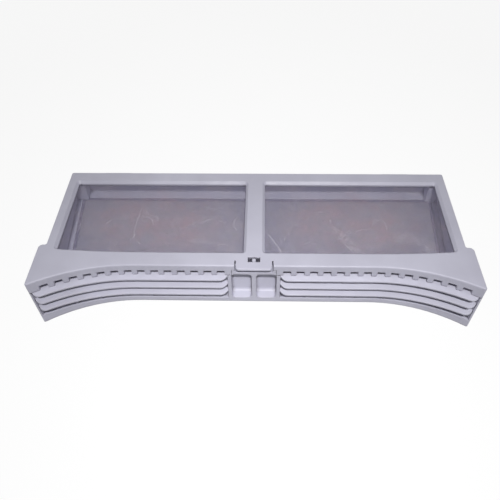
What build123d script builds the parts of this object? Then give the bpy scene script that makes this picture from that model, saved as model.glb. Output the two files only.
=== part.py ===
from build123d import *
import math
import os

# Lint filter case of a tumble dryer, in millimetres.
# It is drawn closed, in the frame of its lid: the lid's top face is z = 0, the middle of the
# concave front edge is y = 0, the hinge is at +y. At the end it is laid down on its own floor.

# Outline of the case, seen on the lid
EAR_WIDTH = 411.0        # across the two ears of the front
EAR_STEP = 7.0           # each ear stands out this far beside the case
FRONT_FLAT = 222.0       # straight middle of the concave front
FRONT_SAG = 25.0         # the ends of the front stand this far forward of its middle
EAR_BACK = 25.2          # back of the ears
REAR_Y = 129.0           # rear edge
EAR_CORNER = 4.5
REAR_CORNER = 2.0
FRONT_CORNER = 1.8
INNER_CORNER = 1.6

# The case is a wedge
FRONT_HEIGHT = 54.5
REAR_HEIGHT = 27.5

# Lid moulding
LID_T = 5.6              # depth of the lid's frame
SKIN = 2.2               # lid walls
EDGE_R = 1.5
MID_RAIL = 20.0          # bars round the two windows
SIDE_RAIL = 10.9
FRONT_RAIL = 18.1
REAR_RAIL = 15.6
WINDOW_RISE = 3.1        # the front edge of a window falls back this far towards the ears
WINDOW_CORNER = 1.5
BEVEL = 2.6
RIM = 4.5
MESH_T = 0.6
MESH_LAP = 3.0
MESH_FIT = 0.1
RIB_T = 1.4

# Comb under the front edge of the lid
SEAM_Z = 14.0            # lid and base meet here round the ears
COMB_TOP = 7.6
COMB_END = 13.0          # last slot to the end of the ear
COMB_FIRST = 30.8
COMB_PITCH = 12.4
SLOT_TOP = 7.2
SLOT_FOOT = 8.0

# Latch tab in the middle of the lid
TAB_WIDTH = 33.4
TAB_SLIT = 1.3
TAB_ROOT = 6.5
TAB_REACH = 3.8          # overhang in front of the grille
TAB_LIP = 2.6
TAB_CORNER = 3.2
TAB_EDGE = 1.0
CATCH_HOLE = (11.4, 6.0) # opening in the tab
CATCH_Y = 4.9            # front of that opening
CATCH_POST = (3.2, 4.8)  # post of the base that stands in it
CATCH_GAP = 0.6
CATCH_TOP = 0.4          # below the face of the lid
CATCH_RAMP = 1.0

# Base moulding
WALL = 2.5
FLOOR_T = 3.0
SEAT_GAP = 0.3           # air between lid and base where they meet
FLOOR_FRONT = 30.0       # floor in front of and behind its windows
FLOOR_REAR = 11.2
POST = (15.0, 14.0)

# Louvre blades
BLADE_TIPS = (15.6, 26.8, 37.6)
BLADE_REACH = 4.6
BLADE_BACK = 2.6
BLADE_RISE = math.radians(22.0)
BLADE_T = 1.7
BLADE_END_R = (9.0, 6.0) # at the middle, at the ears
BLADE_ROOT = 0.6         # grown into the end walls
TOOTH_GAP = 0.5
RAIL_TOP = 48.8
RIB_TOOTH_COUNT = 2      # teeth of the comb to each rib
RIB_DEPTH = 6.0
RIB_LAP = 0.8            # grown into the blades

# Finger pockets between the two louvre fields
BLOCK_HALF = 24.8
BLOCK_DEPTH = 15.5
POCKET_X = (2.2, 21.4)
POCKET_Z = (12.4, 48.4)
POCKET_DEPTH = 13.0      # under the bridge
POCKET_SEAT = (8.5, 2.9)  # where its back meets its floor, from the front lip
POCKET_BEND = 4.0
POCKET_CORNER = 4.0
BRIDGE_TOP = 9.6
BRIDGE_HALF = 20.6
BRIDGE_HORN = 3.2        # its ends rise beside the tab
BRIDGE_GAP = 0.3

# Hinge behind the rear wall
AXIS_Y = REAR_Y + 3.8
AXIS_Z = 8.4
BARREL_R = 3.4
PIN_R = 1.6
PIN_FIT = 0.06
BARREL_W = 16.0
LUG_W = 5.0
LUG_GAP = 0.4
HINGE_X = 150.0

HALF = EAR_WIDTH / 2
CASE = HALF - EAR_STEP
FLAT = FRONT_FLAT / 2
RUN = HALF - FLAT
FRONT_R = (RUN ** 2 + FRONT_SAG ** 2) / (2 * FRONT_SAG)
SWEEP = math.degrees(math.asin(RUN / FRONT_R))
TILT = math.atan((FRONT_HEIGHT - REAR_HEIGHT) / REAR_Y)
RISE = math.tan(BLADE_RISE)
DEEP = 2 * FRONT_HEIGHT
SIDES = (-1, 1)
BIG = 2 * EAR_WIDTH
WINDOW_X = (MID_RAIL / 2, CASE - SIDE_RAIL)
WINDOW_Y = (FRONT_RAIL, REAR_Y - REAR_RAIL)
FLOOR_Y = (FLOOR_FRONT, REAR_Y - FLOOR_REAR)
COMB_COUNT = int((HALF - COMB_END - COMB_FIRST) / COMB_PITCH + 1.01)
COMB_X = [COMB_FIRST + COMB_PITCH * i for i in range(COMB_COUNT)]
REST = Plane(
    origin=(0, 0, -FRONT_HEIGHT),
    x_dir=(1, 0, 0),
    z_dir=(0, -math.sin(TILT), math.cos(TILT)),
)


def front_y(x):
    """Front edge of the case at one x."""
    over = max(0.0, abs(x) - FLAT)
    return math.sqrt(FRONT_R ** 2 - over ** 2) - FRONT_R


def block(x, y, z):
    """Solid between two values along each axis."""
    size = [b - a for a, b in (x, y, z)]
    mid = [(a + b) / 2 for a, b in (x, y, z)]
    return Pos(*mid) * Box(*size)


def area(x, y):
    """Rectangle between two values along each axis."""
    return Pos((x[0] + x[1]) / 2, (y[0] + y[1]) / 2) * Rectangle(x[1] - x[0], y[1] - y[0])


def span(side, x):
    """The same pair of x values on the left or the right."""
    return tuple(sorted((side * x[0], side * x[1])))


def round_corner(face, x, y, radius):
    """Round the two mirrored corners of an outline."""
    corners = [v for v in face.vertices() if abs(abs(v.X) - x) < 0.01 and abs(v.Y - y) < 0.01]
    return fillet(corners, radius)


def outline():
    """Plan of the closed case."""
    end_y = front_y(HALF)
    arc_x = (FLAT + HALF) / 2
    edges = [Line((-FLAT, 0), (FLAT, 0)), Line((-CASE, REAR_Y), (CASE, REAR_Y))]
    for s in SIDES:
        edges.append(ThreePointArc((s * FLAT, 0), (s * arc_x, front_y(arc_x)), (s * HALF, end_y)))
        edges.append(Line((s * HALF, end_y), (s * HALF, EAR_BACK)))
        edges.append(Line((s * HALF, EAR_BACK), (s * CASE, EAR_BACK)))
        edges.append(Line((s * CASE, EAR_BACK), (s * CASE, REAR_Y)))
    face = make_face(edges)
    face = round_corner(face, HALF, end_y, FRONT_CORNER)
    face = round_corner(face, HALF, EAR_BACK, EAR_CORNER)
    face = round_corner(face, CASE, EAR_BACK, INNER_CORNER)
    return round_corner(face, CASE, REAR_Y, REAR_CORNER)


PLAN = outline()
EAR_AREA = area((-HALF - 5, HALF + 5), (-BIG, EAR_BACK))
CASE_AREA = area((-CASE, CASE), (EAR_BACK - WALL, REAR_Y + 5))


def louvre_side(profile):
    """Run one cross-section along the right half of the front, straight and then curved."""
    at_bend = Plane(origin=(FLAT, 0, 0), x_dir=(0, 1, 0), z_dir=(1, 0, 0)) * profile
    straight = extrude(at_bend, -(FLAT - BLOCK_HALF + WALL))
    bend = Axis((FLAT, -FRONT_R, 0), (0, 0, -1))
    return straight + revolve(at_bend, bend, SWEEP + 2)


def both(right):
    """A right-hand piece and its mirror image."""
    return right + mirror(right, about=Plane.YZ)


def lid_window():
    """Right-hand window of the lid; its front edge falls back towards the ear."""
    (x0, x1), (y0, y1) = WINDOW_X, WINDOW_Y
    y2 = y0 + WINDOW_RISE
    face = make_face([
        Line((x0, y0), (FLAT, y0)),
        TangentArc((FLAT, y0), (x1, y2), tangent=(1, 0)),
        Line((x1, y2), (x1, y1)),
        Line((x1, y1), (x0, y1)),
        Line((x0, y1), (x0, y0)),
    ])
    corners = [v for v in face.vertices() if abs(v.X - FLAT) > 1]
    return fillet(corners, WINDOW_CORNER)


def floor_window():
    """Right-hand window of the floor."""
    (x0, x1), (y0, y1) = WINDOW_X, FLOOR_Y
    return Pos((x0 + x1) / 2, (y0 + y1) / 2) * RectangleRounded(x1 - x0, y1 - y0, WINDOW_CORNER)


def window_cut(face, depth):
    """Cutter for a window seen from outside: bevel, opening and the seat of its mesh."""
    cutter = loft([offset(face, BEVEL), Pos(0, 0, -BEVEL) * face], ruled=True)
    cutter += extrude(face, -depth - 1)
    return cutter + mesh_panel(face, depth, 0)


def mesh_panel(face, depth, fit=MESH_FIT):
    """Woven mesh panel, let into the inner side of the frame round its window."""
    return extrude(Pos(0, 0, MESH_T - depth) * offset(face, MESH_LAP - fit), -MESH_T)


def polygon(*points):
    """Closed face through corner points."""
    return make_face(Polyline(*points, close=True).edges())


def from_front(face, y):
    """Solid with an outline drawn in the front view, between two y values."""
    return Pos(0, y[1], 0) * Rot(X=90) * extrude(face, y[1] - y[0])


def comb_slots():
    """Air slots of the comb, open at the foot."""
    top, foot, low = SLOT_TOP / 2, SLOT_FOOT / 2, -SEAM_Z - 5
    slot = polygon((-top, -COMB_TOP), (top, -COMB_TOP), (foot, low), (-foot, low))
    return [
        Pos(s * x, front_y(x), 0) * from_front(slot, (-6, 6))
        for s in SIDES
        for x in COMB_X
    ]


def hinge_barrels():
    """Barrels of the lid, with the stub pins that snap into the lugs of the base."""
    arm = polygon(
        (REAR_Y - 1, -EDGE_R - 0.1),
        (REAR_Y, -EDGE_R - 0.1),
        (AXIS_Y + BARREL_R * 0.6, -AXIS_Z + BARREL_R * 0.8),
        (AXIS_Y, -AXIS_Z),
        (AXIS_Y - BARREL_R, -AXIS_Z),
        (REAR_Y + 0.6, -LID_T),
        (REAR_Y - 1, -LID_T),
    )
    profile = arm + Pos(AXIS_Y, -AXIS_Z) * Circle(BARREL_R)
    parts = []
    for s in SIDES:
        at = Plane(origin=(s * HINGE_X - BARREL_W / 2, 0, 0), x_dir=(0, 1, 0), z_dir=(1, 0, 0))
        pin_w = BARREL_W + 2 * (LUG_W + LUG_GAP)
        pin = Pos(s * HINGE_X, AXIS_Y, -AXIS_Z) * Rot(Y=90) * Cylinder(PIN_R, pin_w)
        parts.append(extrude(at * profile, BARREL_W) + pin)
    return parts


def make_lid():
    """Lid: window frame, comb rail, latch tab and hinge barrels in one moulding."""
    plate = extrude(PLAN, -LID_T)
    plate = fillet(plate.edges().group_by(Axis.Z)[-1], EDGE_R)
    inner = offset(PLAN, -SKIN)
    rim = offset(lid_window(), RIM)
    hollow = inner - rim - mirror(rim, about=Plane.YZ)
    depth = WINDOW_Y[1] - WINDOW_Y[0]
    ribs = [area((x - RIB_T / 2, x + RIB_T / 2), (-BIG, BIG)) for x in stiffeners()]
    for quarter in (1, 2, 3):
        y = WINDOW_Y[0] + quarter * depth / 4
        ribs.append(area((-HALF, HALF), (y - RIB_T / 2, y + RIB_T / 2)))
    lid = plate - extrude(Pos(0, 0, -SKIN) * hollow, -LID_T)
    lid += extrude(Pos(0, 0, -SKIN + 0.2) * (hollow & Sketch() + ribs), SKIN - 0.2 - LID_T)

    skirt = (PLAN - inner) & EAR_AREA
    skirt -= area((-CASE - 0.6, CASE + 0.6), (EAR_BACK - 20, EAR_BACK + 5))
    lid += extrude(Pos(0, 0, -SKIN) * skirt, SKIN - SEAM_Z)
    over_blade = polygon(
        (-BLADE_REACH, TOOTH_GAP - BLADE_TIPS[0]),
        (BLADE_BACK, TOOTH_GAP - BLADE_TIPS[0] + RISE * (BLADE_BACK + BLADE_REACH)),
        (BLADE_BACK, -SEAM_Z - 10),
        (-BLADE_REACH, -SEAM_Z - 10),
    )
    clear_x = HALF - WALL + BLADE_ROOT + TOOTH_GAP
    lid -= both(louvre_side(over_blade) & block((0, clear_x), (-DEEP, DEEP), (-DEEP, 0)))
    lid -= comb_slots()
    lid -= both(window_cut(lid_window(), LID_T))

    tab = TAB_WIDTH / 2
    slit = tab + TAB_SLIT
    behind = SKIN + TOOTH_GAP
    lid -= block((-slit, slit), (-DEEP, behind), (-DEEP, -SKIN))
    lid -= from_front(offset(bridge_face(), BRIDGE_GAP), (-DEEP, behind))
    lid -= [block(span(s, (tab, slit)), (-DEEP, TAB_ROOT), (-DEEP, 5)) for s in SIDES]
    lid += latch_tab()
    wide, deep = CATCH_HOLE
    lid -= block((-wide / 2, wide / 2), (CATCH_Y, CATCH_Y + deep), (-LID_T - 1, 5))
    return lid + hinge_barrels()


def stiffeners():
    """Where the small cross ribs stand under the front and rear rails of the lid."""
    step = 2 * COMB_PITCH
    first = COMB_FIRST + COMB_PITCH / 2
    return [s * (first + step * i) for s in SIDES for i in range(COMB_COUNT // 2)]


def latch_tab():
    """Free front of the tab: a rounded plate that overhangs the grille for a thumb to press."""
    tab = TAB_WIDTH / 2
    plate = area((-tab, tab), (-TAB_REACH, TAB_ROOT / 2))
    front = [v for v in plate.vertices() if v.Y < 0]
    plate = extrude(fillet(front, TAB_CORNER), -TAB_LIP)
    rim = [e for e in plate.edges().group_by(Axis.Z)[-1] if e.center().Y < TAB_ROOT / 2 - 0.1]
    return fillet(rim, TAB_EDGE)


def bridge_face():
    """Front view of the bridge over the finger pockets; its ends rise beside the latch tab."""
    inner = TAB_WIDTH / 2 + TAB_SLIT
    foot = -SEAM_Z - 2
    horn = BRIDGE_HORN - BRIDGE_TOP
    face = polygon(
        (-BRIDGE_HALF, foot),
        (BRIDGE_HALF, foot),
        (BRIDGE_HALF, horn),
        (inner, horn),
        (inner, -BRIDGE_TOP),
        (-inner, -BRIDGE_TOP),
        (-inner, horn),
        (-BRIDGE_HALF, horn),
    )
    bends = [v for v in face.vertices() if abs(v.Y + BRIDGE_TOP) < 0.01]
    return fillet(bends, BRIDGE_HORN - 0.4)


def catch_post():
    """Post of the base that stands in the opening of the tab, with a ramp at its top."""
    wide, deep = CATCH_POST
    front = CATCH_Y + CATCH_GAP
    side = polygon(
        (front, -SEAM_Z - 2),
        (front, -CATCH_TOP),
        (front + deep - CATCH_RAMP, -CATCH_TOP),
        (front + deep, -CATCH_TOP - CATCH_RAMP),
        (front + deep, -SEAM_Z - 2),
    )
    return extrude(Plane(origin=(-wide / 2, 0, 0), x_dir=(0, 1, 0), z_dir=(1, 0, 0)) * side, wide)


def make_blades():
    """Three sloped blades on each side, with ends that sweep back to the posts."""
    sheets = []
    for tip in BLADE_TIPS:
        rear = RISE * (BLADE_BACK + BLADE_REACH) - tip
        sheets.append(louvre_side(polygon(
            (-BLADE_REACH, -tip),
            (BLADE_BACK, rear),
            (BLADE_BACK, rear - BLADE_T),
            (-BLADE_REACH, -tip - BLADE_T),
        )))
    near, far = FRONT_R - BLADE_REACH, FRONT_R + BLADE_BACK + 2
    stop = HALF - WALL + BLADE_ROOT
    start = BLOCK_HALF - WALL / 2

    def on_arc(radius, part):
        turn = part * math.asin((stop - FLAT) / radius)
        return (FLAT + radius * math.sin(turn), radius * math.cos(turn) - FRONT_R)

    plan = make_face([
        Line((start, near - FRONT_R), (FLAT, near - FRONT_R)),
        ThreePointArc((FLAT, near - FRONT_R), on_arc(near, 0.5), on_arc(near, 1)),
        Line(on_arc(near, 1), on_arc(far, 1)),
        ThreePointArc(on_arc(far, 1), on_arc(far, 0.5), (FLAT, far - FRONT_R)),
        Line((FLAT, far - FRONT_R), (start, far - FRONT_R)),
        Line((start, far - FRONT_R), (start, near - FRONT_R)),
    ])
    tip_corners = [(start, near - FRONT_R), on_arc(near, 1)]
    for (x, y), radius in zip(tip_corners, BLADE_END_R):
        hit = [v for v in plan.vertices() if abs(v.X - x) < 0.01 and abs(v.Y - y) < 0.01]
        plan = fillet(hit, radius)
    swept = extrude(plan, -DEEP)
    return both(Part() + [sheet & swept for sheet in sheets])


def make_ribs():
    """Upright ribs behind the blades, in line with every second tooth of the comb."""
    ribs = []
    for s in SIDES:
        for x in COMB_X[1::RIB_TOOTH_COUNT]:
            at = x + COMB_PITCH / 2
            if at < HALF - COMB_END:
                y = front_y(at) + BLADE_BACK - RIB_LAP
                top = -SEAM_Z - 0.6
                ribs.append(block(span(s, (at - 1, at + 1)), (y, y + RIB_DEPTH), (-DEEP, top)))
    return ribs


def make_pockets():
    """Middle of the grille: two finger pockets under a bridge that the latch tab closes on."""
    body = block((-BLOCK_HALF, BLOCK_HALF), (0, BLOCK_DEPTH), (-DEEP, -SEAM_Z - SEAT_GAP))
    body += from_front(bridge_face(), (0, BLOCK_DEPTH / 2))
    roof, lip = -POCKET_Z[0], -POCKET_Z[1]
    seat_y, seat_z = POCKET_SEAT[0], lip + POCKET_SEAT[1]
    scoop = polygon(
        (-2, roof),
        (POCKET_DEPTH, roof),
        (seat_y, seat_z),
        (0, lip),
        (-2, lip),
    )
    bends = [v for v in scoop.vertices() if v.X > 1]
    scoop = fillet(bends, POCKET_BEND)
    for s in SIDES:
        left, right = span(s, POCKET_X)
        at = Plane(origin=(left, 0, 0), x_dir=(0, 1, 0), z_dir=(1, 0, 0))
        mouth = area((left, right), (lip, roof))
        mouth = fillet(mouth.vertices(), POCKET_CORNER)
        body -= extrude(at * scoop, right - left) & from_front(mouth, (-DEEP, DEEP))
    return body + catch_post()


def hinge_lugs():
    """Pairs of lugs on the rear wall that hold the pins of the lid."""
    foot = polygon(
        (REAR_Y - 1, -AXIS_Z + 2.4),
        (REAR_Y + 0.4, -AXIS_Z + 2.4),
        (AXIS_Y - 1.6, -AXIS_Z + 3.0),
        (AXIS_Y, -AXIS_Z),
        (AXIS_Y + BARREL_R * 0.6, -AXIS_Z - BARREL_R * 0.8),
        (REAR_Y, -AXIS_Z - 9),
        (REAR_Y - 1, -AXIS_Z - 9),
    )
    profile = foot + Pos(AXIS_Y, -AXIS_Z) * Circle(BARREL_R)
    profile -= Pos(AXIS_Y, -AXIS_Z) * Circle(PIN_R + PIN_FIT)
    lugs = []
    for s in SIDES:
        for e in SIDES:
            near = BARREL_W / 2 + LUG_GAP
            x = s * HINGE_X + (near if e > 0 else -near - LUG_W)
            at = Plane(origin=(x, 0, 0), x_dir=(0, 1, 0), z_dir=(1, 0, 0))
            lugs.append(extrude(at * profile, LUG_W))
    return lugs


def make_base():
    """Base: tray, louvred front, finger pockets and hinge lugs in one moulding."""
    ring = PLAN - offset(PLAN, -WALL)
    behind = Pos(0, 2 * WALL) * PLAN
    mouth = (PLAN - behind) & area((WALL - HALF, HALF - WALL), (-60, 3 * WALL))
    front = ring & mouth
    ends = (ring & EAR_AREA) - mouth
    tray = ring & CASE_AREA
    base = extrude(Pos(0, 0, -SEAM_Z - SEAT_GAP) * ends, -DEEP)
    base += extrude(Pos(0, 0, -LID_T - SEAT_GAP) * tray, -DEEP)
    base += extrude(Pos(0, 0, -RAIL_TOP) * front, -DEEP)
    for s in SIDES:
        post = span(s, (CASE - POST[0], CASE - WALL / 2))
        base += block(post, (REAR_Y - POST[1], REAR_Y - WALL / 2), (-DEEP, -LID_T - SEAT_GAP))
    base += make_pockets()
    base += make_ribs()
    base += make_blades()
    base += hinge_lugs()
    slab = extrude(REST * Rectangle(BIG, BIG), FLOOR_T)
    base += extrude(PLAN, -DEEP) & slab
    base -= extrude(REST * Rectangle(BIG, BIG), -DEEP)
    base = REST.location.inverse() * base
    return base - both(mirror(window_cut(floor_window(), FLOOR_T), about=Plane.XY))


to_rest = REST.location.inverse()
lid_mesh = mesh_panel(lid_window(), LID_T)
floor_mesh = Pos(0, 0, 2 * FLOOR_T - MESH_T) * mesh_panel(floor_window(), FLOOR_T)
nodes = {
    "case_base": make_base(),
    "case_lid": to_rest * make_lid(),
    "base_mesh_left": mirror(floor_mesh, about=Plane.YZ),
    "base_mesh_right": floor_mesh,
    "lid_mesh_left": to_rest * mirror(lid_mesh, about=Plane.YZ),
    "lid_mesh_right": to_rest * lid_mesh,
}

# The origin is the middle of the footprint, on the floor.
boxes = [shape.bounding_box() for shape in nodes.values()]
middle = (min(b.min.Y for b in boxes) + max(b.max.Y for b in boxes)) / 2
os.makedirs("parts", exist_ok=True)
for name, shape in nodes.items():
    export_step(Pos(0, -middle, 0) * shape, "parts/" + name + ".step")
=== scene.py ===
import math

import bpy
import numpy as np
from mathutils import Matrix, Vector


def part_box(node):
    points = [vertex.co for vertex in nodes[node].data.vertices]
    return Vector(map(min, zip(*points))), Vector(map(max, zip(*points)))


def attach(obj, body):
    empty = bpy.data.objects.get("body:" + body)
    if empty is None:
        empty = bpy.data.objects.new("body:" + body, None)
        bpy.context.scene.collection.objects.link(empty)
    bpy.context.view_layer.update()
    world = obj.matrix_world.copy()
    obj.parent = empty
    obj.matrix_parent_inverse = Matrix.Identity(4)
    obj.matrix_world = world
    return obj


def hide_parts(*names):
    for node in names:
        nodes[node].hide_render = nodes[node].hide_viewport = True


# Lint filter of a tumble dryer: a moulded case with four mesh panels, in metres.
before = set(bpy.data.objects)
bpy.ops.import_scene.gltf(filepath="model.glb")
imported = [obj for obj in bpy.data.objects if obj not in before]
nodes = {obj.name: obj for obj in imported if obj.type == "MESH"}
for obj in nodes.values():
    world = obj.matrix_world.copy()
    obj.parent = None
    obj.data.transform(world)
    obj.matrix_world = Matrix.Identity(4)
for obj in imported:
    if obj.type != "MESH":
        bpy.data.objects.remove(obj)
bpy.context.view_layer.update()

MM = 0.001


def linear(red, green, blue):
    """A colour as a paint chart gives it, 0 to 255, made linear."""
    parts = [v / 255 for v in (red, green, blue)]
    return [v / 12.92 if v <= 0.04045 else ((v + 0.055) / 1.055) ** 2.4 for v in parts] + [1.0]


# The case moulding, its dust, its pale edges (rubbed wear and painted highlight) and the painted
# shade in its gaps
LILAC_GREY = linear(190, 189, 204)
LILAC_PALE_WEAR_AND_HIGHLIGHT = linear(203, 202, 216)
LILAC_DULL = linear(168, 166, 181)
LINT_DUST = linear(176, 170, 172)
GAP_PAINTED_SHADE = linear(74, 70, 82)
# The mesh: its yarn, clean, stained, cool, and with lint on it
YARN = linear(180, 173, 193)
YARN_STAIN = linear(198, 168, 184)
YARN_COOL = linear(153, 151, 184)
YARN_LINT = linear(202, 195, 208)
# The studio
FLOOR_WHITE = (0.95, 0.95, 0.95, 1)
FLOOR_GREY = (0.35, 0.35, 0.35, 1)
BACKDROP_WHITE = (1, 1, 1, 1)

# Colour sockets of a mix node
MIX_FIRST, MIX_SECOND, MIX_RESULT = 6, 7, 2


class Shader:
    """Shorthand for wiring a node tree."""

    def __init__(self, tree):
        self.tree = tree

    def put(self, kind, sockets=None, **settings):
        """A new node, with its settings made and its inputs fed."""
        node = self.tree.nodes.new(kind)
        for name, value in settings.items():
            setattr(node, name, value)
        for name, value in (sockets or {}).items():
            self.feed(node.inputs[name], value)
        return node

    def feed(self, socket, value):
        """Link an output to an input, or set the input to a plain value."""
        if isinstance(value, bpy.types.NodeSocket):
            self.tree.links.new(value, socket)
        else:
            socket.default_value = value

    def use(self, group, place):
        """The node of a shared effect, at a place."""
        return self.put("ShaderNodeGroup", {"Place": place}, node_tree=group)

    def calc(self, operation, first, second=0.0, third=0.0):
        sockets = {0: first, 1: second, 2: third}
        return self.put("ShaderNodeMath", sockets, operation=operation).outputs[0]

    def vector(self, operation, first, second):
        sockets = {0: first, 1: second}
        return self.put("ShaderNodeVectorMath", sockets, operation=operation).outputs

    def remap(self, value, low, high, to_low=0.0, to_high=1.0):
        """A smooth step. It falls where low lies above high."""
        names = ("Value", "From Min", "From Max", "To Min", "To Max")
        sockets = dict(zip(names, (value, low, high, to_low, to_high)))
        return self.put("ShaderNodeMapRange", sockets, interpolation_type="SMOOTHSTEP").outputs[0]

    def blend(self, share, first, second):
        node = self.put("ShaderNodeMix", data_type="RGBA")
        self.feed(node.inputs["Factor"], share)
        self.feed(node.inputs[MIX_FIRST], first)
        self.feed(node.inputs[MIX_SECOND], second)
        return node.outputs[MIX_RESULT]

    def noise(self, place, scale, detail, roughness=0.5):
        sockets = {"Vector": place, "Scale": scale, "Detail": detail, "Roughness": roughness}
        return self.put("ShaderNodeTexNoise", sockets).outputs

    def patches(self, place, scale, detail, low, high, roughness=0.5, to_low=0.0, to_high=1.0):
        """Soft patches: noise that is cut to a range."""
        noise = self.noise(place, scale, detail, roughness)["Fac"]
        return self.remap(noise, low, high, to_low, to_high)

    def bump(self, body, strength, distance, **sockets):
        """Feed the normal of a body from a height."""
        node = self.put("ShaderNodeBump", {"Strength": strength, "Distance": distance, **sockets})
        self.feed(body.inputs["Normal"], node.outputs["Normal"])


def effect(name, inputs, outputs):
    """An empty node group with named sockets."""
    group = bpy.data.node_groups.new(name, "ShaderNodeTree")
    for label, kind, value in inputs:
        socket = group.interface.new_socket(label, in_out="INPUT", socket_type="NodeSocket" + kind)
        if value is not None:
            socket.default_value = value
    for label, kind in outputs:
        group.interface.new_socket(label, in_out="OUTPUT", socket_type="NodeSocket" + kind)
    shader = Shader(group)
    start = shader.put("NodeGroupInput").outputs
    end = shader.put("NodeGroupOutput").inputs
    return group, shader, start, end


def moulded_grain():
    """Fine spark-eroded grain of a moulding tool, with slow waves from uneven cooling."""
    group, shader, start, end = effect(
        "moulded_grain",
        [("Place", "Vector", None), ("Grain", "Float", 1400.0), ("Waves", "Float", 22.0)],
        [("Height", "Float"), ("Gloss", "Float"), ("Cloud", "Float")],
    )
    place = start["Place"]
    wave_height = 3.0
    fine = shader.noise(place, start["Grain"], detail=2.0, roughness=0.6)["Fac"]
    slow = shader.noise(place, start["Waves"], detail=3.0)["Fac"]
    gloss = shader.patches(place, scale=130.0, detail=4.0, low=0.3, high=0.7)
    shader.feed(end["Height"], shader.calc("MULTIPLY_ADD", slow, wave_height, fine))
    shader.feed(end["Gloss"], gloss)
    shader.feed(end["Cloud"], shader.remap(slow, low=0.32, high=0.68))
    return group


def edge_wear_highlight_and_gap_shade():
    """Masks of the outer edges that handling polishes and that also carry a painted highlight, of
    inner corners, and of tight gaps for painted shade.
    """
    group, shader, start, end = effect(
        "edge_wear_highlight_and_gap_shade",
        [("Place", "Vector", None), ("Width", "Float", 0.0009), ("Reach", "Float", 0.006)],
        [("Edge", "Float"), ("Corner", "Float"), ("Painted Gap Shade", "Float"), ("Normal", "Vector")],
    )
    soft = shader.put("ShaderNodeBevel", {"Radius": start["Width"]}, samples=6).outputs[0]
    flat = shader.put("ShaderNodeNewGeometry").outputs["Normal"]
    along = shader.vector("DOT_PRODUCT", soft, flat)["Value"]
    turn = shader.remap(along, low=0.999, high=0.9)
    near = shader.put("ShaderNodeAmbientOcclusion", {"Distance": start["Reach"]}, samples=8)
    open_air = near.outputs["AO"]
    patchy = shader.patches(
        start["Place"], scale=160.0, detail=4.0, low=0.35, high=0.7, to_low=0.35
    )
    # outer edges: rubbed wear, and also a painted highlight where edges catch the light
    outer = shader.calc("MULTIPLY", turn, shader.remap(open_air, low=0.55, high=0.9))
    shader.feed(end["Edge"], shader.calc("MULTIPLY", outer, patchy))
    shader.feed(end["Corner"], shader.remap(open_air, low=0.75, high=0.25))
    # painted shade: where ambient occlusion finds tight gaps and slits
    shader.feed(end["Painted Gap Shade"], shader.remap(open_air, low=0.72, high=0.35))
    shader.feed(end["Normal"], soft)
    return group


def plain_weave():
    """Square weave of single yarns, at a place counted in yarns: their cover and their height."""
    group, shader, start, end = effect(
        "plain_weave",
        [("Place", "Vector", None), ("Cover", "Float", 0.6)],
        [("Yarn", "Float"), ("Height", "Float")],
    )
    drift_reach = 1.4       # yarns wander this far off their line
    soft_edge = 0.12        # of a yarn's outline
    over_under = 0.35       # rise of a yarn over its neighbours
    roundness = 0.6         # rise of a yarn's own section
    wander = shader.noise(start["Place"], scale=0.05, detail=2.0)["Color"]
    drift = shader.vector("MULTIPLY", wander, (drift_reach,) * 3)[0]
    place = shader.vector("ADD", start["Place"], drift)[0]
    axes = shader.put("ShaderNodeSeparateXYZ", {0: place}).outputs
    half = shader.calc("MULTIPLY", start["Cover"], 0.5)
    strands = []
    for across, along in ((axes[0], axes[1]), (axes[1], axes[0])):
        offset = shader.calc("SUBTRACT", shader.calc("FRACT", across), 0.5)
        offset = shader.calc("ABSOLUTE", offset)
        mask = shader.remap(offset, half, shader.calc("SUBTRACT", half, soft_edge))
        crown = shader.calc("SUBTRACT", 1.0, shader.calc("DIVIDE", offset, half))
        step = shader.calc("ADD", shader.calc("FLOOR", across), along)
        wave = shader.calc("SINE", shader.calc("MULTIPLY", step, math.pi))
        section = shader.calc("MULTIPLY", crown, roundness)
        lift = shader.calc("MULTIPLY_ADD", wave, over_under, section)
        strands.append((mask, shader.calc("MULTIPLY", mask, lift)))
    (mask_a, lift_a), (mask_b, lift_b) = strands
    shader.feed(end["Yarn"], shader.calc("MAXIMUM", mask_a, mask_b))
    shader.feed(end["Height"], shader.calc("MAXIMUM", lift_a, lift_b))
    return group


GRAIN = moulded_grain()
EDGES = edge_wear_highlight_and_gap_shade()
WEAVE = plain_weave()


def new_material(name):
    """A material with its shader and output in place."""
    material = bpy.data.materials.new(name)
    material.use_nodes = True
    shader = Shader(material.node_tree)
    return material, shader, material.node_tree.nodes["Principled BSDF"]


def case_plastic():
    """Lilac-grey polypropylene: matt grain, clouds, pale edges that are rubbed wear and a painted
    highlight, dust in corners, painted shade in tight gaps.
    """
    material, shader, body = new_material("case_plastic")
    place = shader.put("ShaderNodeTexCoord").outputs["Object"]
    grain = shader.use(GRAIN, place).outputs
    edges = shader.use(EDGES, place).outputs
    tint = LILAC_GREY
    for mask, strength, colour in (
        (grain["Cloud"], 0.35, LILAC_DULL),
        # pale edges: partly rubbed wear, partly a painted highlight on edges that catch the light
        (edges["Edge"], 0.4, LILAC_PALE_WEAR_AND_HIGHLIGHT),
        (edges["Corner"], 0.35, LINT_DUST),
        # painted shade: tight gaps, slits and pocket sides darkened towards a near-black lilac
        (edges["Painted Gap Shade"], 0.8, GAP_PAINTED_SHADE),
    ):
        tint = shader.blend(shader.calc("MULTIPLY", mask, strength), tint, colour)
    shader.feed(body.inputs["Base Color"], tint)
    rough = shader.remap(grain["Gloss"], 0.0, 1.0, to_low=0.40, to_high=0.52)
    polish = shader.calc("MULTIPLY", edges["Edge"], 0.12)
    shader.feed(body.inputs["Roughness"], shader.calc("SUBTRACT", rough, polish))
    shader.bump(body, 0.12, 0.2 * MM, Height=grain["Height"], Normal=edges["Normal"])
    body.inputs["IOR"].default_value = 1.49
    return material


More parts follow.
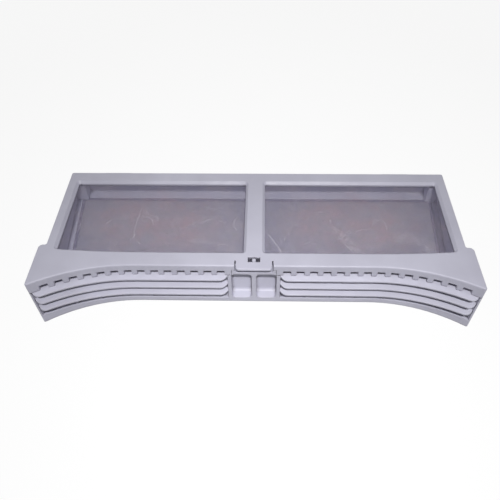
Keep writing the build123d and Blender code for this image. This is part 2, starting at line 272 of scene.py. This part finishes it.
def yarn_tint(shader, place):
    """Grey yarn, stained pink in the middle of a panel and clouded cool, more so outside it."""
    stain_shape = (0.0062, 0.0105, 0)    # from yarns to shares of the stain's oval
    reach = shader.vector("LENGTH", shader.vector("MULTIPLY", place, stain_shape)[0], (0, 0, 0))
    middle = shader.remap(reach["Value"], low=1.05, high=0.35)
    patchy = shader.patches(place, scale=0.028, detail=4.0, low=0.34, high=0.66, roughness=0.6)
    strong = shader.remap(middle, 0.0, 1.0, to_low=0.25)
    tint = shader.blend(shader.calc("MULTIPLY", strong, patchy), YARN, YARN_STAIN)
    clouds = shader.patches(place, scale=0.021, detail=4.0, low=0.66, high=0.4, roughness=0.6)
    outer = shader.remap(middle, 0.0, 1.0, to_low=0.7, to_high=0.12)
    tint = shader.blend(shader.calc("MULTIPLY", clouds, outer), tint, YARN_COOL)
    mottle = shader.patches(
        place, scale=0.13, detail=4.0, low=0.38, high=0.68, roughness=0.65, to_high=0.4
    )
    return shader.blend(mottle, tint, YARN_COOL)


def mesh_cloth():
    """Woven mesh with open pores, stained, with thin felt, pale creases and patches of lint."""
    material, shader, body = new_material("mesh_cloth")
    place = shader.put("ShaderNodeTexCoord").outputs["UV"]
    weave = shader.use(WEAVE, place)
    weave.inputs["Cover"].default_value = 0.29
    felt = shader.patches(place, scale=0.045, detail=5.0, low=0.52, high=0.78, roughness=0.65)
    tufts = shader.patches(place, scale=0.16, detail=5.0, low=0.36, high=0.62, roughness=0.7)
    breaks = shader.patches(place, scale=0.22, detail=3.0, low=0.34, high=0.6, roughness=0.6)
    fold = shader.put("ShaderNodeAttribute", attribute_name="fold").outputs["Fac"]
    fold = shader.calc("MULTIPLY", fold, breaks)
    lint = shader.put("ShaderNodeAttribute", attribute_name="lint").outputs["Fac"]
    lint = shader.calc("MULTIPLY", lint, tufts)

    def strongest(felt_share, line_share):
        """The most that felt, folds or lint give at a spot."""
        most = shader.calc("MULTIPLY", felt, felt_share)
        for line in (fold, lint):
            most = shader.calc("MAXIMUM", most, shader.calc("MULTIPLY", line, line_share))
        return most

    tint = shader.blend(strongest(0.5, 1.0), yarn_tint(shader, place), YARN_LINT)
    shader.feed(body.inputs["Base Color"], tint)
    film = strongest(0.16, 0.42)
    shader.feed(body.inputs["Alpha"], shader.calc("MAXIMUM", weave.outputs["Yarn"], film))
    body.inputs["Roughness"].default_value = 0.62
    body.inputs["Sheen Weight"].default_value = 0.1
    shader.bump(body, 0.35, 0.2 * MM, Height=weave.outputs["Height"])
    return material


PLASTIC = case_plastic()
CLOTH = mesh_cloth()

for name in ("case_base", "case_lid"):
    nodes[name].data.materials.clear()
    nodes[name].data.materials.append(PLASTIC)


LID_FALL = math.radians(11.821)    # the lid lies in a plane that falls towards the hinge
YARN_PITCH = 0.6 * MM
CUT_FIT = 0.15 * MM                # the cloth is cut this much smaller than its seat
PANEL_CELLS = (262, 144)           # across and along a panel
TURN = 6.28                        # once round, in radians

# Slack of the cloth, in mm
SEAT_LAP = 3.0                     # width of the seat round a window
SLACK_RUN_IN = 7.0                 # beyond the seat, until the cloth is free
BILLOW_COUNT = 9
BILLOW_LENGTH = (24, 70)
BILLOW_RISE = (0.03, 0.09)
PUCKER_ACROSS = (17, 23)
PUCKER_ALONG = (14, 19)
PUCKER_RISE = 0.08
PUCKER_FADE = 14                   # from the edge inwards
FOLD_RISE = 0.4                    # height of a sharp crease

# Loose lint fibres on a panel, in mm
FIBRE_COUNT = {"lid": 26, "base": 12}
FIBRE_FIELD = ((-80, 80), (-42, 38))
FIBRE_STEP = 1.9
FIBRE_STEPS = (2, 6)
FIBRE_BEND = 0.9
FIBRE_SWAY = 0.4
FIBRE_WIDTH = 0.65
FIBRE_STRENGTH = (0.45, 0.95)

# First seeds of the panels' random draws
SLACK_SEED = 11
FIBRE_SEED = 31


def body_of(node):
    """The body that a panel rides on."""
    return "lid" if node.startswith("lid") else "base"


def panel_plane(node):
    """The plane of a mesh panel: its middle, and the fall of the lid."""
    low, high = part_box(node)
    fall = -LID_FALL if body_of(node) == "lid" else 0.0
    return Matrix.Translation((low + high) / 2) @ Matrix.Rotation(fall, 4, "X")


def cut_edges(node, plane):
    """Front and rear edge of a panel's cut over its width, from its plain solid."""
    flat = plane.inverted()
    spots = [flat @ corner.co for corner in nodes[node].data.vertices]
    chains = []
    for side in (-1, 1):
        chain = sorted((spot.x, spot.y) for spot in spots if spot.y * side > 0)
        chains.append(np.array(chain).T)
    return chains


def along_line(x, y, points, width):
    """Mask of a line of some width that runs through some points."""
    best = np.full(x.shape, np.inf)
    for (ax, ay), (bx, by) in zip(points, points[1:]):
        dx, dy = bx - ax, by - ay
        share = np.clip(((x - ax) * dx + (y - ay) * dy) / (dx * dx + dy * dy), 0, 1)
        best = np.minimum(best, np.hypot(x - ax - share * dx, y - ay - share * dy))
    return np.exp(-((best / width) ** 2))


def slack(x, y, edge, seed, creases):
    """How far a mesh panel stands off its plane: slow billows, edge puckers and creases, in mm."""
    rng = np.random.default_rng(seed)
    lift = np.zeros(x.shape)
    for _ in range(BILLOW_COUNT):
        angle, length = rng.uniform(0, math.pi), rng.uniform(*BILLOW_LENGTH)
        wave = (x * math.cos(angle) + y * math.sin(angle)) * 2 * math.pi / length
        lift += rng.uniform(*BILLOW_RISE) * np.sin(wave + rng.uniform(0, TURN))
    pucker = np.sin(x * 2 * math.pi / rng.uniform(*PUCKER_ACROSS) + rng.uniform(0, TURN))
    pucker += np.sin(y * 2 * math.pi / rng.uniform(*PUCKER_ALONG) + rng.uniform(0, TURN))
    lift += PUCKER_RISE * pucker * np.exp(-edge / PUCKER_FADE)
    for points, width, sharpness in creases:
        lift += FOLD_RISE * sharpness * along_line(x, y, points, width)
    free = np.clip((edge - SEAT_LAP) / SLACK_RUN_IN, 0, 1)
    return lift * free * free * (3 - 2 * free)


def write_mask(mesh, label, x, y, lines):
    """Store where some lines run on a panel, for its material."""
    mask = np.zeros(x.shape)
    for points, width, strength in lines:
        mask = np.maximum(mask, strength * along_line(x, y, points, width))
    layer = mesh.attributes.new(label, "FLOAT", "POINT")
    layer.data.foreach_set("value", mask.ravel().astype(np.float32))


def mesh_panel(node, seed, creases, lint):
    """One woven panel, laid where its plain solid is, with the slack of the real cloth."""
    plane = panel_plane(node)
    front, rear = cut_edges(node, plane)
    across, along = PANEL_CELLS
    left, right = front[0][0] + CUT_FIT, front[0][-1] - CUT_FIT
    xs = np.linspace(left, right, across + 1)
    low = np.interp(xs, *front) + CUT_FIT
    high = np.interp(xs, *rear) - CUT_FIT
    share = np.linspace(0, 1, along + 1)[:, None]
    gx = np.broadcast_to(xs, (along + 1, across + 1))
    gy = low + share * (high - low)
    edge = np.minimum(np.minimum(gx - left, right - gx), np.minimum(gy - low, high - gy)) / MM
    lift = slack(gx / MM, gy / MM, edge, seed, creases) * MM
    spots = np.stack([gx, gy, lift], axis=-1).reshape(-1, 3)
    row = across + 1
    faces = [
        (j * row + i, j * row + i + 1, (j + 1) * row + i + 1, (j + 1) * row + i)
        for j in range(along)
        for i in range(across)
    ]
    mesh = bpy.data.meshes.new(node + "_cloth")
    mesh.from_pydata(spots.tolist(), [], faces)
    write_mask(mesh, "fold", gx / MM, gy / MM, creases)
    write_mask(mesh, "lint", gx / MM, gy / MM, lint)
    uv = mesh.uv_layers.new(name="cut")
    for loop in mesh.loops:
        uv.data[loop.index].uv = spots[loop.vertex_index][:2] / YARN_PITCH
    mesh.transform(plane)
    mesh.shade_smooth()
    mesh.materials.append(CLOTH)
    cloth = bpy.data.objects.new(node + "_cloth", mesh)
    bpy.context.scene.collection.objects.link(cloth)
    body = body_of(node)
    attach(cloth, body)
    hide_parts(node)


# Creases of each panel: points across and along it from its middle, width in mm, sharpness
CREASES = {
    "lid_mesh_left": [
        ([(-17.6, 12.3), (-17.8, 5.1), (-19.4, -4.6), (-19.9, -13.2), (-18.8, -28.4)], 0.7, 0.9),
        ([(-15.4, 6.0), (-12.0, 0.8), (-9.2, 2.6), (-2.4, -4.3)], 0.7, 0.9),
        ([(-2.4, -4.3), (-1.9, 0.9), (2.2, -1.0), (1.7, -7.0)], 0.7, 0.8),
        ([(-11.4, 4.4), (-9.0, 6.1), (-7.0, 3.0), (-4.4, 4.6)], 0.65, 0.85),
        ([(-14.6, -1.8), (-11.6, -4.9), (-9.4, -2.6), (-7.6, -6.4)], 0.65, 0.8),
        ([(-5.6, 0.4), (-3.6, 3.2), (0.4, 2.4), (2.6, 5.2)], 0.65, 0.75),
        ([(-44.2, -0.9), (-46.5, -4.7), (-49.3, -8.2)], 0.8, 0.9),
        ([(80.6, 2.5), (78.3, -3.6), (78.0, -10.5), (80.6, -16.4)], 0.8, 0.95),
        ([(-22.0, -29.9), (-18.2, -23.3)], 0.8, 0.9),
        ([(-16.0, -29.9), (-11.5, -34.8)], 0.8, 0.9),
        ([(64.7, -35.5), (71.7, -35.2)], 0.8, 0.8),
    ],
    "lid_mesh_right": [
        (
            [(-87.0, -19.2), (-83.3, -24.7), (-79.6, -31.2), (-76.2, -37.5), (-73.0, -43.8)],
            0.9, 1.0,
        ),
        ([(-12.0, -33.0), (-9.2, -38.1), (-6.3, -41.8), (-7.7, -36.9), (-2.7, -43.0)], 0.7, 0.9),
        ([(1.3, -15.8), (6.5, -13.1), (13.3, -13.8), (14.9, -16.4)], 0.8, 0.7),
        ([(22.9, 0.0), (28.6, -2.0), (31.0, -8.9), (29.8, -14.2)], 0.8, 0.7),
        ([(-38.3, 8.0), (-33.1, 10.2), (-27.2, 7.4)], 0.8, 0.75),
    ],
    "base_mesh_left": [
        ([(24.0, 30.0), (31.0, 8.0), (28.0, -21.0)], 0.9, 0.2),
    ],
    "base_mesh_right": [
        ([(-46.0, 24.0), (-38.0, 2.0), (-41.0, -28.0)], 0.9, 0.2),
    ],
}
# Patches of felted lint that stayed on the lid's cloth: points, width in mm, strength
LINT = {
    "lid_mesh_left": [
        ([(38.0, -30.0), (60.0, -33.0)], 3.0, 0.4),
    ],
    "lid_mesh_right": [
        ([(-18.0, -13.4), (-10.6, -27.9), (-2.4, -40.5)], 5.5, 0.6),
        ([(39.3, -27.3), (49.8, -22.0), (58.5, -27.1), (67.4, -39.8)], 6.0, 0.65),
    ],
}


def loose_fibres(seed, count):
    """Loose lint fibres on a panel: short curled lines, drawn as very fine creases."""
    rng = np.random.default_rng(seed)
    across, along = FIBRE_FIELD
    lines = []
    for _ in range(count):
        x, y = rng.uniform(*across), rng.uniform(*along)
        turn, bend = rng.uniform(0, TURN), rng.uniform(-FIBRE_BEND, FIBRE_BEND)
        points = [(x, y)]
        for _ in range(rng.integers(*FIBRE_STEPS)):
            turn += bend + rng.uniform(-FIBRE_SWAY, FIBRE_SWAY)
            x, y = x + FIBRE_STEP * math.cos(turn), y + FIBRE_STEP * math.sin(turn)
            points.append((x, y))
        lines.append((points, FIBRE_WIDTH, rng.uniform(*FIBRE_STRENGTH)))
    return lines


for index, (node, creases) in enumerate(CREASES.items()):
    loose = loose_fibres(FIBRE_SEED + index, FIBRE_COUNT[body_of(node)])
    mesh_panel(node, SLACK_SEED + index, creases + loose, LINT.get(node, []))


# Studio
FLOOR_REACH = 6
FLOOR_GLOW = 0.9         # share of plain white in the floor that the camera sees
AMBIENT = 0.21           # light from all round
FRONT_LAMP = {
    "place": (0.09, -0.59, 1.544), "target": (0.02, -0.17, 0.05),
    "size": 0.09, "watts": 0.97, "spread": 33,
}
REAR_LAMP = {
    "place": (-0.35, 1.25, 0.35), "target": (0, 0.06, 0.02),
    "size": 0.6, "watts": 0.4, "spread": 90,
}

# Viewpoint of the photograph: lengths of its lens in pixels, angles in degrees
PHOTO_WIDTH = 500
PHOTO_FOCUS = 530
SENSOR_WIDTH = 36.0
CAMERA_PLACE = (0.0075, -0.27184, 0.48281)
CAMERA_TURN = 2.689
CAMERA_DIP = 60.717
CAMERA_ROLL = -1.889


def lamp(name, place, target, size, watts, spread):
    """A round soft lamp at a place, turned to a target."""
    light = bpy.data.lights.new(name, "AREA")
    light.shape = "DISK"
    light.size = size
    light.energy = watts
    light.spread = math.radians(spread)
    stand = bpy.data.objects.new(name, light)
    stand.location = place
    stand.rotation_euler = (Vector(target) - Vector(place)).to_track_quat("-Z", "Y").to_euler()
    bpy.context.scene.collection.objects.link(stand)


def seen_rays(shader):
    """Kinds of ray, and a mask of those that a viewer sees, straight, mirrored or through glass."""
    ray = shader.put("ShaderNodeLightPath").outputs
    seen = shader.calc("MAXIMUM", ray["Is Camera Ray"], ray["Is Glossy Ray"])
    return ray, shader.calc("MAXIMUM", seen, ray["Is Transmission Ray"])


def studio_floor():
    """White floor that keeps the shadow. It is grey to bounced light and behind mesh."""
    material, shader, body = new_material("studio_floor")
    ray, seen = seen_rays(shader)
    clear = shader.calc("LESS_THAN", ray["Transparent Depth"], 0.5)
    seen = shader.calc("MULTIPLY", seen, clear)
    shader.feed(body.inputs["Base Color"], shader.blend(seen, FLOOR_GREY, FLOOR_WHITE))
    body.inputs["Roughness"].default_value = 0.9
    white = shader.put("ShaderNodeEmission", {"Strength": 1.0})
    share = shader.calc("MULTIPLY", seen, FLOOR_GLOW)
    mix = shader.put("ShaderNodeMixShader", {0: share, 1: body.outputs[0], 2: white.outputs[0]})
    shader.feed(material.node_tree.nodes["Material Output"].inputs["Surface"], mix.outputs[0])

    far = FLOOR_REACH
    mesh = bpy.data.meshes.new("floor")
    corners = [(-far, -far, 0), (far, -far, 0), (far, far, 0), (-far, far, 0)]
    mesh.from_pydata(corners, [], [(0, 1, 2, 3)])
    mesh.materials.append(material)
    floor = bpy.data.objects.new("floor", mesh)
    bpy.context.scene.collection.objects.link(floor)


def studio_backdrop():
    """White backdrop that gives a weak light from all round."""
    world = bpy.data.worlds.new("studio")
    bpy.context.scene.world = world
    world.use_nodes = True
    shader = Shader(world.node_tree)
    _, seen = seen_rays(shader)
    back = world.node_tree.nodes["Background"]
    back.inputs["Color"].default_value = BACKDROP_WHITE
    shader.feed(back.inputs["Strength"], shader.remap(seen, 0.0, 1.0, to_low=AMBIENT))


def photo_camera():
    """Camera at the photograph's viewpoint: above the louvred front, turned a little."""
    lens = bpy.data.cameras.new("photo_camera")
    lens.sensor_width = SENSOR_WIDTH
    lens.lens = SENSOR_WIDTH * PHOTO_FOCUS / PHOTO_WIDTH
    lens.clip_start, lens.clip_end = 0.01, 50
    camera = bpy.data.objects.new("photo_camera", lens)
    turn = Matrix.Rotation(math.radians(CAMERA_TURN), 4, "Z")
    look = Matrix.Rotation(math.radians(90 - CAMERA_DIP), 4, "X")
    roll = Matrix.Rotation(math.radians(CAMERA_ROLL), 4, "Z")
    camera.matrix_world = Matrix.Translation(CAMERA_PLACE) @ turn @ look @ roll
    bpy.context.scene.collection.objects.link(camera)
    bpy.context.scene.camera = camera


studio_floor()
studio_backdrop()
lamp("front_softbox", **FRONT_LAMP)
lamp("rear_fill", **REAR_LAMP)
photo_camera()
bpy.context.scene.view_settings.view_transform = "Standard"
